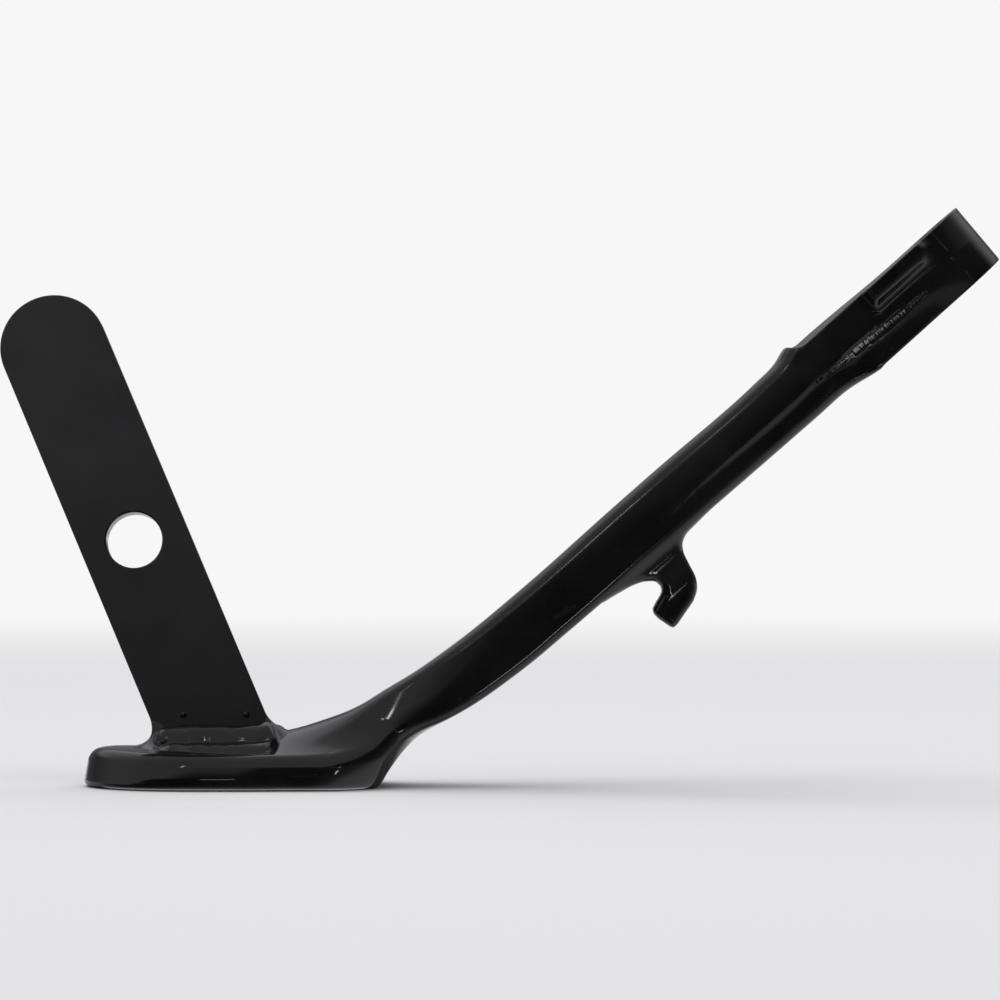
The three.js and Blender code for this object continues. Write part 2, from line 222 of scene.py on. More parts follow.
# Outline of the spring hook in X and Z; its two ends lie inside the leg.
HOOK = [
    ("move", (-88, -70)), ("line", (-71.5, -70.8)),
    ("curve", [(-77.8, -79.7), (-80.7, -83.6), (-81.2, -88), (-79, -93),
               (-77, -97), (-76.6, -100.4), (-77.7, -104)]),
    ("line", (-82.6, -111.1)),
    ("curve", [(-84, -112.2), (-85.6, -111.4)]), ("line", (-88.5, -109.4)),
    ("curve", [(-90.2, -107.2), (-89.3, -104.9), (-87.6, -101.6), (-88.0, -99.2),
               (-89.3, -98.2), (-92.2, -98.0), (-96.4, -99.2), (-100.7, -101.2),
               (-105, -103.0)]),
    ("line", (-110, -98)),
]


def outline_points(parts, step=0.8):
    """Corner points of an outline of lines and of curves through the places given."""
    points = []
    for kind, data in parts:
        if kind in ("move", "line"):
            points.append(np.array(data, float))
            continue
        nodes = np.vstack([points[-1], np.array(data, float)])
        keys = np.concatenate([[0], np.cumsum(np.hypot(*np.diff(nodes, axis=0).T))])
        for k in np.arange(step, keys[-1] + step * 0.5, step):
            points.append(spline(keys, nodes, np.array([min(k, keys[-1])]))[0])
    return np.array(points)


def polygon_distance(px, pz, outline):
    """Signed distance from the points to a closed outline, negative inside."""
    best = np.full(px.shape, 1e9)
    inside = np.zeros(px.shape, bool)
    for a, b in zip(outline, np.roll(outline, -1, axis=0)):
        ex, ez = b - a
        wx, wz = px - a[0], pz - a[1]
        t = np.clip((wx * ex + wz * ez) / (ex * ex + ez * ez), 0, 1)
        best = np.minimum(best, (wx - ex * t) ** 2 + (wz - ez * t) ** 2)
        crosses = (a[1] > pz) != (b[1] > pz)
        side = (b[0] - a[0]) * (pz - a[1]) / (b[1] - a[1] + 1e-12) + a[0]
        inside ^= crosses & (px < side)
    return np.sqrt(best) * np.where(inside, -1.0, 1.0)


HOOK_OUTLINE = outline_points(HOOK)
HOOK_HALF, HOOK_FLARE, HOOK_EDGE = 4.5, 4.1, 2.6
FAR = 40.0


def hook(x, y, z):
    """Curved hook of the spring: 9 mm thick with rounded edges, flared where it leaves the leg."""
    near = (x > -118) & (x < -58) & (z > -118) & (z < -60)
    d = np.full(x.shape, FAR)
    out = -(-x[near] * S + z[near] * C)
    flat = polygon_distance(x[near], z[near], HOOK_OUTLINE)
    half = HOOK_HALF + HOOK_FLARE * smoothstep(24.0, 6.5, out)
    d[near] = cut_round(flat, np.abs(y[near]) - half, HOOK_EDGE)
    return d


# The eye's outside: its radius low down, how much it grows upwards, and its draft in depth.
EYE_RADIUS, EYE_GROWTH, EYE_DRAFT = 11.6, 0.8, 0.0045
EYE_LOW, EYE_HEIGHT = -10.8, 24.2


def eye_cylinder(s, t, y):
    """Distance to the slightly tapered outside of the pivot eye."""
    radius = EYE_RADIUS + EYE_GROWTH * (t - EYE_LOW) / EYE_HEIGHT
    depth = y * (1 + EYE_DRAFT * np.abs(t))
    return np.sqrt(s * s + depth * depth) - radius


def stop_lug(s, t, y):
    """Block on the front of the head: top flush with the upper face, round end, sloping sides."""
    root, top, rear = 11.6, 12.5, -8.0
    # the further out from the leg's side, the more the lower side and the two ends draw in
    slope = 0.75 * np.clip(-y - root, 0, 6)
    low = 3.3 + slope
    right = -2.4 - 1.45 * slope
    left = -28.5 + 0.7 * slope
    radius = 4.2
    dx = np.maximum(s - (right - radius), 0)
    dz = np.maximum(low + radius - t, 0)
    corner = np.hypot(dx, dz) - radius
    flat = np.maximum(np.maximum(s - right, low - t), t - top)
    body = np.where((dx > 0) & (dz > 0), corner, flat)
    body = cut_round(body, left - s, 1.0) * 0.8
    body = np.maximum(body, y - rear)
    # the front face stands 15.5 mm out and leans a little with t and s
    face = -y - 15.5 - 0.10 * (t - 8) + 0.02 * (s + 16)
    return cut_round(body, face, 0.8)


# The foot seen from above: where the nose begins, and how long its two ends are.
NOSE_X, NOSE_REACH, HEEL_REACH, FOOT_HALF = -225.6, 38.0, 22.0, 22.9
# The sole's broken edge slopes 20 degrees.
COS_20, SIN_20 = 0.9397, 0.342


def foot_pad(x, y, z):
    """The flat foot: elliptical nose and heel, drafted sides, crowned top, broken sole edge."""
    # how far a wall draws in with height: one draft for the tab's half, one for the heel's
    right = smoothstep(-216, -200, x)
    down = np.clip(-149.5 - z, 0, 11)
    at_nose = smoothstep(-240, -254, x)
    draft_left = np.maximum(z + 156.6 + 3.6 * at_nose, 0) * (0.21 - 0.04 * at_nose)
    draft_right = 0.55 * np.clip(1 - down / 8.5, 0, 1) ** 2
    draft = draft_left * (1 - right) + draft_right * right
    b = FOOT_HALF - draft - 0.9 * right
    # the outline from above, as the distance to an ellipse that changes its length at NOSE_X
    heel_x = -173.0 + 0.60 * (z - SOLE)
    along = np.where(x < NOSE_X, (x - NOSE_X) / (NOSE_REACH - draft),
                     np.maximum(x - heel_x + HEEL_REACH, 0) / HEEL_REACH)
    reach = np.where(x < NOSE_X, NOSE_REACH, HEEL_REACH)
    k0 = np.sqrt(along**2 + (y / b) ** 2)
    k1 = np.sqrt((along / reach) ** 2 + (y / (b * b)) ** 2)
    plan = k0 * (k0 - 1) / np.maximum(k1, 1e-4)
    # the top: crowned and drooping at the nose, a roof with a soft ridge at the heel
    droop = 1.1 * np.clip((-253.0 - x) / 9.0, 0, 1.2) ** 2
    nose_top = -148.3 - 1.5 * (y / 19.5) ** 2 - droop
    roof = -149.9 + 0.30 * (20 - np.sqrt(y * y + 4))
    top = z - (nose_top + (roof - nose_top) * right)
    # the sole's broken edge fades out towards the nose
    under = SOLE - z
    broken = -6.0 + 8.9 * smoothstep(-262, -228, x) + 1.2 * smoothstep(-215, -195, x)
    side = meet_soft(plan, COS_20 * plan + SIN_20 * (under + broken), 1.2)
    return cut_round(cut_round(under, side, 2.0), top, 3.0)


def foot_top_cut(x, y, z, d):
    """The field d with the level seat under the tab cut out of it, up to the leg's rise."""
    seat_start, seat_end = -238.5, -205.3 - 0.12 * np.abs(y)
    seat = np.minimum(np.minimum(x - seat_start, seat_end - x), z - SEAT)
    return np.maximum(d, seat)


FREE = 50.0


def face_level(s, end, reach=5.5):
    """How far the metal stands above a machined face: 0 on it, the cutter's arc, then free."""
    back = end - s
    arc = reach - np.sqrt(np.maximum(reach**2 - np.clip(back, 0, reach) ** 2, 0))
    return np.where(back > reach, FREE, arc)


# Along the leg: place, middle of the strip across the leg, and its half width.
STRIP = [
    (-58, -0.7, 0.0), (-51, -0.9, 0.25), (-46, -1.1, 0.8), (-39.5, -1.35, 1.25),
    (-34, -1.9, 1.45), (-28, -2.3, 1.35), (-23, -2.6, 1.1), (-16, -2.7, 0.8), (-11, -2.6, 0.0),
]


def flash_strip(s, t):
    """Trimmed flash on the parting line: a low flat strip near the head."""
    keys = [k[0] for k in STRIP]
    wander = 0.10 * np.sin(s * 2.1) + 0.08 * np.sin(s * 5.3 + 1)
    middle = np.interp(s, keys, [k[1] for k in STRIP]) + wander * 0.4
    half = np.interp(s, keys, [k[2] for k in STRIP]) + wander * 0.5
    edge = np.abs(t - middle) - half
    tilt = 0.34 + 0.16 * (t - middle)
    return tilt * smoothstep(0.3, -0.25, edge) * smoothstep(0.05, 0.4, half)


# The leg's own section stops here, inside the foot.
SECTION_END = -232
# The eye's machined faces: half thickness and where each ends; nothing is cut beyond EYE_ZONE.
FACE, UPPER_FACE_END, LOWER_FACE_END, EYE_ZONE = 10.3, -50.3, -36.3, -80
# The bore: its radius, where its flared mouths begin, and how far out they can reach.
BORE, MOUTH, MOUTH_REACH, COS_45 = 6.35, 9.6, 9, 0.7071


def forging(u, v, y):
    """Distance field of the whole leg forging at section coordinates u, v and depth y."""
    x, z, h, row = place(u, v)
    s = x * C + z * S
    t = -x * S + z * C
    body = section(v, y, h, row)
    body = np.maximum(np.maximum(body, s), SECTION_END - x)
    body = np.minimum(body, eye_cylinder(s, t, y))
    body = body - flash_strip(s, t) * smoothstep(6, 10, np.abs(y))
    # the leg runs into the foot with a wide fillet on top and at the heel, a narrow one elsewhere
    at_top = smoothstep(-156, -148, z)
    at_heel = smoothstep(-200, -186, x)
    blend = 2.5 + 7.5 * smoothstep(-162, -174, x) * np.maximum(at_top, at_heel)
    d = np.maximum(join_round(body, foot_pad(x, y, z), blend), v - h)
    d = cut_round(d, SOLE - z, 0.6)
    d = join_round(d, hook(x, y, z), 3.0)
    d = join_round(d, stop_lug(s, t, y), 1.4)
    d = foot_top_cut(x, y, z, d)
    # the eye's faces; the upper one turns slightly about the leg's axis away from the bore
    tilt = smoothstep(-12, -48, s) * 1.1
    leaning = tilt * (y + 12) / 24
    upper_face = t - FACE - leaning - face_level(s, UPPER_FACE_END)
    upper_face = np.where(s > EYE_ZONE, upper_face, -FREE)
    lower_face = np.where(s > EYE_ZONE, -FACE - t - face_level(s, LOWER_FACE_END), -FREE)
    d = cut_round(cut_round(d, upper_face, 0.25), lower_face, 0.25)
    radial = np.sqrt(s * s + y * y)
    bore = BORE - radial
    flare = (np.abs(t) - MOUTH + BORE - radial) * COS_45
    return np.maximum(d, np.maximum(bore, np.where(radial < MOUTH_REACH, flare, bore))), x, z


def surface_net(field, us, span, ys):
    """Quads over the zero level of a field on a curved grid; returns grid places and faces."""
    vv = span(us)
    nu, nv, ny = len(us), vv.shape[1], len(ys)
    U = np.broadcast_to(us[:, None, None], (nu, nv, ny))
    V = np.broadcast_to(vv[:, :, None], (nu, nv, ny))
    Y = np.broadcast_to(ys[None, None, :], (nu, nv, ny))
    F = np.empty((nu, nv, ny))
    slab = 40
    for i in range(0, nu, slab):
        F[i:i + slab] = field(U[i:i + slab], V[i:i + slab], Y[i:i + slab])[0]
    grid = [U, V, Y]
    total = np.zeros((nu - 1, nv - 1, ny - 1, 3))
    count = np.zeros((nu - 1, nv - 1, ny - 1))
    neg = F < 0
    quads = []
    crossings = []
    for axis in range(3):
        lo = [slice(None)] * 3
        hi = [slice(None)] * 3
        lo[axis], hi[axis] = slice(0, -1), slice(1, None)
        lo, hi = tuple(lo), tuple(hi)
        change = neg[lo] != neg[hi]
        crossings.append((change, neg[lo]))
        t = np.where(change, F[lo] / np.where(change, F[lo] - F[hi], 1.0), 0.0)
        point = np.stack([g[lo] + (g[hi] - g[lo]) * t for g in grid], -1) * change[..., None]
        others = [a for a in range(3) if a != axis]
        for da in (0, 1):
            for db in (0, 1):
                take = [slice(None)] * 3
                for a, dd in zip(others, (da, db)):
                    n = F.shape[a]
                    take[a] = slice(dd, n - 1 + dd)
                take = tuple(take)
                total += point[take]
                count += change[take]
    active = count > 0
    ids = np.full(active.shape, -1)
    ids[active] = np.arange(active.sum())
    q = total[active] / count[active][:, None]
    for axis in range(3):
        change, inside_low = crossings[axis]
        others = [a for a in range(3) if a != axis]
        inner = [slice(None)] * 3
        for a in others:
            inner[a] = slice(1, -1)
        inner = tuple(inner)
        where = np.argwhere(change[inner])
        if len(where) == 0:
            continue
        off = np.zeros(3, int)
        for a in others:
            off[a] = 1
        where = where + off
        low_in = inside_low[tuple(where.T)]
        corner = []
        a, b = others
        for da, db in ((-1, -1), (0, -1), (0, 0), (-1, 0)):
            w = where.copy()
            w[:, a] += da
            w[:, b] += db
            corner.append(ids[tuple(w.T)])
        quad = np.stack(corner, 1)
        flip = low_in if axis != 1 else ~low_in
        quad[~flip] = quad[~flip][:, ::-1]
        quads.append(quad)
    return q, np.vstack(quads)


def settle(field, q, rounds=3):
    """Moves the net's points onto the surface and returns positions and outward normals."""
    e = 0.05

    def gradient(q):
        f0 = field(q[:, 0], q[:, 1], q[:, 2])[0]
        g = np.empty_like(q)
        for k in range(3):
            hi, lo = q.copy(), q.copy()
            hi[:, k] += e
            lo[:, k] -= e
            above = field(hi[:, 0], hi[:, 1], hi[:, 2])[0]
            below = field(lo[:, 0], lo[:, 1], lo[:, 2])[0]
            g[:, k] = (above - below) / (2 * e)
        return f0, g

    for _ in range(rounds):
        f0, g = gradient(q)
        size = (g * g).sum(1)
        move = -(f0 / np.maximum(size, 0.05))[:, None] * g
        length = np.linalg.norm(move, axis=1, keepdims=True)
        q = q + move * np.minimum(1.0, 0.25 / np.maximum(length, 1e-9))
    _, g = gradient(q)
    x, z, _, _ = place(q[:, 0], q[:, 1])
    xu, zu, _, _ = place(q[:, 0] + e, q[:, 1])
    xl, zl, _, _ = place(q[:, 0] - e, q[:, 1])
    xv, zv, _, _ = place(q[:, 0], q[:, 1] + e)
    xw, zw, _, _ = place(q[:, 0], q[:, 1] - e)
    a, b = (xu - xl) / (2 * e), (zu - zl) / (2 * e)
    c, d = (xv - xw) / (2 * e), (zv - zw) / (2 * e)
    det = a * d - b * c
    det = np.where(np.abs(det) < 0.05, 0.05 * np.sign(det + 1e-12), det)
    gx = (d * g[:, 0] - b * g[:, 1]) / det
    gz = (-c * g[:, 0] + a * g[:, 1]) / det
    normal = np.stack([gx, g[:, 2], gz], 1)
    normal /= np.maximum(np.linalg.norm(normal, axis=1, keepdims=True), 1e-9)
    return np.stack([x, q[:, 2], z], 1), normal


def face_outward(points, normals, faces):
    """Turns round the quads that face against the normals of their corners."""
    first = points[faces[:, 2]] - points[faces[:, 0]]
    second = points[faces[:, 3]] - points[faces[:, 1]]
    wrong = (np.cross(first, second) * normals[faces].sum(1)).sum(1) < 0
    faces[wrong] = faces[wrong][:, ::-1]
    return faces


def add_mesh(name, points, faces, normals=None):
    """A smooth object of the points (in mm) and faces, with exact normals where given."""
    mesh = bpy.data.meshes.new(name)
    mesh.from_pydata((points * MM).tolist(), [], [list(map(int, face)) for face in faces])
    mesh.validate()
    mesh.update()
    mesh.shade_smooth()
    if normals is not None:
        mesh.normals_split_custom_set_from_vertices(normals.tolist())
    piece = bpy.data.objects.new(name, mesh)
    bpy.context.scene.collection.objects.link(piece)
    return piece


def stretch(knots):
    """Grid values between the knots (place, step): fine where the step is small."""
    values = [knots[0][0]]
    for (start, step), (stop, _) in zip(knots[:-1], knots[1:]):
        n = max(1, round((stop - start) / step))
        values.extend(start + (stop - start) * (i + 1) / n for i in range(n))
    return np.array(values)


def build_forging():
    """The forging's skin, on a grid that is finest at the head, the hook and the foot."""
    start, mid_depth = 3.0, 8.0
    end = STATIONS[-1] - 0.6
    us = [start]
    while us[-1] < end:
        x, z, _, _ = place(np.array([us[-1]]), np.array([mid_depth]))
        s = float(x[0] * C + z[0] * S)
        if s > -62:
            step = 0.6
        elif -152 < s < -100:
            step = 0.75
        elif s > -190:
            step = 0.95
        else:
            step = 0.75
        us.append(us[-1] + step)
    us = np.array(us)

    def span(us):
        """Grid places below the upper edge; they reach further down where the hook is."""
        x, z, h, _ = place(us, np.zeros(len(us)) + mid_depth)
        s = x * C + z * S
        below = 4.0 + 19.0 * smoothstep(-160, -146, s) * smoothstep(-88, -102, s)
        band = np.minimum(4.6, 0.3 * h)
        knots = [np.full(len(us), -6.4), np.full(len(us), -0.8), band, h / 2 - 0.15 * h,
                 h / 2 + 0.15 * h, h - band, h + 0.8, h + below]
        counts = [7, 13, 6, 9, 6, 13, 14]
        columns = [knots[0]]
        for lo, hi, n in zip(knots[:-1], knots[1:], counts):
            columns.extend(lo + (hi - lo) * (i + 1) / n for i in range(n))
        return np.stack(columns, 1)

    side = stretch([(0, 1.3), (7.2, 0.42), (13.2, 0.7), (18.2, 0.5), (25.0, 0.5)])
    ys = np.concatenate([-side[:0:-1], side])
    q, faces = surface_net(forging, us, span, ys)
    points, normals = settle(forging, q)
    return add_mesh("forging_skin", points, face_outward(points, normals, faces), normals)


forging_skin = build_forging()
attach(forging_skin, "root")
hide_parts("leg_forging")


# ---- the tab, its welds and the two spatter beads ---------------------------------------------

# The tab's foot and its own axes: across its width, up its length, through its thickness.
BASE = np.array([-221.6, 0.0, SEAT])
WIDE = np.array([0.91810, 0.06269, 0.39136])
UP = np.array([-0.39635, 0.14521, 0.90654])
BACK = np.array([0.0, 0.98741, -0.15816])
TAB_HALF, TAB_THICK = 16.5, 3.0


def build_tab():
    """Flat bar with a round end and a hole, every edge broken, its foot cut level."""
    half, length, thick, edge = TAB_HALF, 135.2, TAB_THICK, 0.55
    hole_radius, hole_height = 8.6, 69.3
    turn = np.linspace(0, math.pi, 97)
    outer = [(half * math.cos(a), length + half * math.sin(a)) for a in turn]
    foot_left, foot_right = 6.6, -7.6
    side = np.linspace(length, foot_left, 30)[1:]
    outer += [(-half, d) for d in side]
    outer += [(half, d) for d in np.linspace(foot_right, length, 30)[:-1]]
    outer = np.array(outer)
    ring = np.linspace(0, 2 * math.pi, 97)[:-1]
    hole = np.array([(hole_radius * math.cos(a), hole_height + hole_radius * math.sin(a))
                     for a in ring])

    def outward(loop):
        before, after = np.roll(loop, 1, axis=0), np.roll(loop, -1, axis=0)
        along = after - before
        n = np.stack([along[:, 1], -along[:, 0]], 1)
        return n / np.linalg.norm(n, axis=1, keepdims=True)

    points, normals, faces, loops = [], [], [], []
    for loop, sign in ((outer, 1.0), (hole, -1.0)):
        away = outward(loop) * sign
        rings = []
        for k in range(7):
            a = math.pi / 2 * k / 6
            rings.append((edge * (1 - math.sin(a)), -(thick - edge * (1 - math.cos(a))), a, -1))
        rings += [(i, -n, a, 1) for i, n, a, _ in rings[::-1]]
        start = len(points)
        count = len(loop)
        for inset, n, a, face in rings:
            for (w, d), (ow, od) in zip(loop, away):
                points.append(BASE + (w - ow * inset) * WIDE + (d - od * inset) * UP + n * BACK)
                normals.append(math.sin(a) * (ow * WIDE + od * UP) + face * math.cos(a) * BACK)
        for r in range(len(rings) - 1):
            for i in range(count):
                j = (i + 1) % count
                a, b = start + r * count + i, start + r * count + j
                quad = (a, b, b + count, a + count)
                faces.append(quad if sign > 0 else quad[::-1])
        loops.append([start + i for i in range(count)])
        loops.append([start + (len(rings) - 1) * count + i for i in range(count)])
    flat = [Vector((float((p - BASE) @ WIDE), float((p - BASE) @ UP), 0)) for p in points]
    for first, second, front in ((loops[0], loops[2], True), (loops[1], loops[3], False)):
        order = first + second
        for tri in tessellate_polygon([[flat[i] for i in first], [flat[i] for i in second]]):
            a, b, c = (order[i] for i in tri)
            turn_sign = (flat[b] - flat[a]).cross(flat[c] - flat[a]).z > 0
            faces.append((a, b, c) if turn_sign != front else (c, b, a))
    points, normals = np.array(points), np.array(normals)
    for i, face in enumerate(faces):
        across = np.cross(points[face[1]] - points[face[0]], points[face[2]] - points[face[0]])
        if across @ normals[list(face)].sum(0) < 0:
            faces[i] = face[::-1]
    return add_mesh("tab_skin", points, faces, normals)


def world_net(field, lo, hi, step):
    """Points, normals and quads over the zero level of a field given in world millimetres."""
    axes = [np.arange(a, b + step, step) for a, b in zip(lo, hi)]

    def wrapped(u, v, y):
        return field(u, y, v), u, v

    def level(us):
        return np.broadcast_to(axes[2], (len(us), len(axes[2])))

    q, faces = surface_net(wrapped, axes[0], level, axes[1])
    e = 0.05

    def gradient(q):
        g = np.empty_like(q)
        for k in range(3):
            up, down = q.copy(), q.copy()
            up[:, k] += e
            down[:, k] -= e
            above = field(up[:, 0], up[:, 2], up[:, 1])
            below = field(down[:, 0], down[:, 2], down[:, 1])
            g[:, k] = (above - below) / (2 * e)
        return field(q[:, 0], q[:, 2], q[:, 1]), g

    for _ in range(3):
        f0, g = gradient(q)
        move = -(f0 / np.maximum((g * g).sum(1), 0.05))[:, None] * g
        far = np.linalg.norm(move, axis=1, keepdims=True)
        q = q + move * np.minimum(1.0, 0.2 / np.maximum(far, 1e-9))
    _, g = gradient(q)
    points = q[:, [0, 2, 1]]
    normals = g[:, [0, 2, 1]]
    normals /= np.maximum(np.linalg.norm(normals, axis=1, keepdims=True), 1e-9)
    return points, normals, face_outward(points, normals, faces)


def bead_line(x, y, z, rows, seed):
    """One weld pass along X: rows of (x, y, z, radius), slightly uneven along its length."""
    keys = [r[0] for r in rows]
    cy, cz, cr = (np.interp(x, keys, [r[i] for r in rows]) for i in (1, 2, 3))
    out_left = np.maximum(keys[0] - x, 0)
    out_right = np.maximum(x - keys[-1], 0)
    p = np.stack([x, y, z], -1)
    lump = 0.34 * bump_noise(p, 7.0, seed) + 0.12 * bump_noise(p, 2.6, seed + 1)
    away = np.sqrt((out_left + out_right) ** 2 + (y - cy) ** 2 + (z - cz) ** 2)
    return away - cr - lump


# The weld's skin dips WELD_DIP into the parts it joins and ends WELD_EDGE below their surface;
# EDGE_RATE makes that limit steep.
WELD_DIP, WELD_EDGE, EDGE_RATE = 1.2, 0.02, 3.0


def weld(x, y, z):
    """All the weld round the tab: a fillet all round, two passes in front and one behind."""
    px, py, pz = x - BASE[0], y - BASE[1], z - BASE[2]
    w = px * WIDE[0] + py * WIDE[1] + pz * WIDE[2]
    n = px * BACK[0] + py * BACK[1] + pz * BACK[2]
    bar = cut_round(np.abs(w) - TAB_HALF, np.abs(n) - TAB_THICK, 0.5)
    pad = foot_top_cut(x, y, z, foot_pad(x, y, z))
    p = np.stack([x, y, z], -1)
    wobble = bump_noise(p, 5.0, 5)
    # the fillet is small where the passes lie over it, and larger at the tab's edges and back
    at_front = smoothstep(-1.5, -4.0, n) * smoothstep(16.0, 12.5, np.abs(w - 1))
    reach = 10.8 * (1 - at_front) + 2.5 * at_front
    fillet = join_round(bar, pad, reach) + 0.16 - 0.12 * wobble
    upper = bead_line(x, y, z, [
        (-237.0, -5.2, -146.6, 4.6), (-231, -6.0, -146.9, 5.6), (-224, -6.4, -147.2, 5.8),
        (-216, -6.5, -147.4, 5.9), (-209, -6.4, -146.3, 6.0), (-203, -6.4, -145.8, 6.0)], 11)
    lower = bead_line(x, y, z, [
        (-235, -8.6, -150.8, 4.5), (-228, -10.8, -151.3, 5.1), (-219, -12.0, -151.5, 5.3),
        (-203, -12.6, -151.3, 5.4)], 23)
    # both passes end on the right: the lower one on a slanting line, the upper at the tab's edge
    right_toe = (x - (-200.6 + 0.37 * y)) * 0.92
    upper = cut_round(upper, w - 16.9, 1.4)
    passes = join_round(upper, cut_round(lower, right_toe, 1.4), 0.45)
    rear = bead_line(x, y, z, [
        (-237, 5.6, -147.5, 4.2), (-222, 6.0, -147.4, 4.6), (-206, 6.0, -146.6, 4.6)], 37)
    metal = join_round(join_round(fillet, passes, 1.2), rear, 1.2)
    parts = np.minimum(bar, pad)
    shell = np.maximum(metal, -WELD_DIP - parts)
    return np.maximum(shell, EDGE_RATE * (metal - parts - WELD_EDGE))


def build_pip(name, where, seed):
    """A spatter bead: a small lumpy dome half sunk in the tab's face."""
    rings, around, radius = 12, 24, 0.92
    directions = [(0, -1, 0)]
    for a in np.linspace(0, math.pi, rings + 1)[1:-1]:
        for b in np.linspace(0, 2 * math.pi, around + 1)[:-1]:
            directions.append((math.sin(a) * math.cos(b), -math.cos(a), math.sin(a) * math.sin(b)))
    directions = np.array(directions + [(0, 1, 0)])
    lump = 1 + 0.22 * bump_noise(directions + 3.1, 0.55, seed)
    points = np.array(where) + directions * radius * lump[:, None]
    last = len(points) - 1
    faces = []
    for j in range(around):
        k = (j + 1) % around
        faces.append((0, 1 + j, 1 + k))
        for i in range(rings - 2):
            low, high = 1 + i * around, 1 + (i + 1) * around
            faces.append((low + j, high + j, high + k, low + k))
        faces.append((last - around + j, last, last - around + k))
    return add_mesh(name, points, faces)


tab_skin = build_tab()
weld_points, weld_normals, weld_faces = world_net(weld, (-252, -24, -153), (-195, 17, -136), 0.45)
weld_skin = add_mesh("weld_skin", weld_points, weld_faces, weld_normals)
PIECES = [
    (tab_skin, "plate_black", ["tab_plate"]),
    (weld_skin, "weld_black", ["weld_front_upper_pass", "weld_front_lower_pass", "weld_rear",
                               "weld_end_outboard", "weld_end_inboard"]),
]
for name, seed in (("weld_pip_outboard", 3), ("weld_pip_inboard", 8)):
    lo, hi = (np.array(c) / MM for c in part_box(name))
    middle = (lo + hi) / 2
    PIECES.append((build_pip(name + "_skin", middle, seed), "weld_black", [name]))
for piece, slot, nodes in PIECES:
    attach(piece, "root")
    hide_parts(*nodes)


# ---- materials --------------------------------------------------------------------------------


def gloss_black(name, colour, sheen, relief, grain):
    """Baked gloss enamel: orange peel, soft uneven sheen, fine dust, and a painted highlight that
    makes the colour lighter on sharp convex edges.
    """
    material = bpy.data.materials.new(name)
    material.use_nodes = True
    nodes, links = material.node_tree.nodes, material.node_tree.links
    shader = nodes["Principled BSDF"]
    shader.inputs["IOR"].default_value = 1.5
    coord = nodes.new("ShaderNodeTexCoord")

    def noise(scale, detail):
        node = nodes.new("ShaderNodeTexNoise")
        node.inputs["Scale"].default_value = scale
        node.inputs["Detail"].default_value = detail
        links.new(coord.outputs["Object"], node.inputs["Vector"])
        return node.outputs["Fac"]

    def spread(value, lo, hi, low, high):
        node = nodes.new("ShaderNodeMapRange")
        for key, number in zip(("From Min", "From Max", "To Min", "To Max"), (lo, hi, low, high)):
            node.inputs[key].default_value = number
        links.new(value, node.inputs["Value"])
        return node.outputs["Result"]

    def add(first, second):
        node = nodes.new("ShaderNodeMath")
        links.new(first, node.inputs[0])
        links.new(second, node.inputs[1])
        return node.outputs["Value"]

    cloud = noise(45, 3)
    dust = spread(noise(2600, 1), 0.70, 0.78, 0.0, 1.0)
    links.new(add(spread(cloud, 0.3, 0.7, *sheen), spread(dust, 0, 1, 0.0, 0.10)),
              shader.inputs["Roughness"])

    tone = add(cloud, spread(dust, 0, 1, 0.0, 0.5))
    geometry = nodes.new("ShaderNodeNewGeometry")
    # painted highlight: the base colour is made lighter on sharp convex edges, up to the ramp's
    # light end
    edge = spread(geometry.outputs["Pointiness"], 0.53, 0.62, 0.0, 0.35)
    tint = nodes.new("ShaderNodeValToRGB")
    steps = tint.color_ramp.elements
    steps[0].position = 0.35
    steps[0].color = (*colour, 1)
    steps[1].position = 1.0
    steps[1].color = (*[c * 4.0 + 0.002 for c in colour], 1)
    links.new(add(tone, edge), tint.inputs["Fac"])
    links.new(tint.outputs["Color"], shader.inputs["Base Color"])

    peel = nodes.new("ShaderNodeBump")
    peel.inputs["Strength"].default_value = 1.0
    peel.inputs["Distance"].default_value = relief * MM
    links.new(noise(grain, 2), peel.inputs["Height"])
    links.new(peel.outputs["Normal"], shader.inputs["Normal"])
    return material


# Colour, range of roughness, height of the orange peel in mm and how fine it is.
ENAMEL = {
    "forging_black": gloss_black(
        "forging_enamel", (0.0026, 0.0026, 0.0029), (0.045, 0.09), 0.0022, 380),
    "plate_black": gloss_black(
        "plate_enamel", (0.0030, 0.0030, 0.0034), (0.05, 0.10), 0.0025, 520),
    "weld_black": gloss_black(
        "weld_enamel", (0.0024, 0.0024, 0.0027), (0.04, 0.10), 0.010, 700),
}
forging_skin.data.materials.append(ENAMEL["forging_black"])
for piece, slot, _ in PIECES:
    piece.data.materials.append(ENAMEL[slot])

# ---- studio -----------------------------------------------------------------------------------


BACKDROP = (0.93, 0.93, 0.93, 1)


def ramp(nodes, stops):
    """A colour ramp of nearly neutral greys through the stops (position, value)."""
    node = nodes.new("ShaderNodeValToRGB")
    ramp_stops = node.color_ramp.elements
    while len(ramp_stops) < len(stops):
        ramp_stops.new(0.5)
    for stop, (position, value) in zip(ramp_stops, stops):
        stop.position = position
        stop.color = (value, value, value * 1.04, 1)
    return node


# Brightness of the surroundings by direction, from opposite the direction named to along it.
FRONT_UP = [(0.0, 0.03), (0.53, 0.03), (0.58, 0.06), (0.635, 0.25), (0.67, 0.40), (0.70, 0.50),
            (0.85, 0.5), (1.0, 0.5)]
FRONT_DOWN = [(0.0, 0.7), (0.03, 0.6), (0.10, 0.18), (0.2, 0.06), (0.35, 0.0), (1.0, 0.0)]
BACK_TONES = [(0.0, 0.6), (0.3, 0.9), (0.48, 0.9), (0.51, 0.2), (0.70, 0.2), (0.79, 0.95),
              (0.93, 1.0), (0.97, 0.6), (1.0, 0.5)]


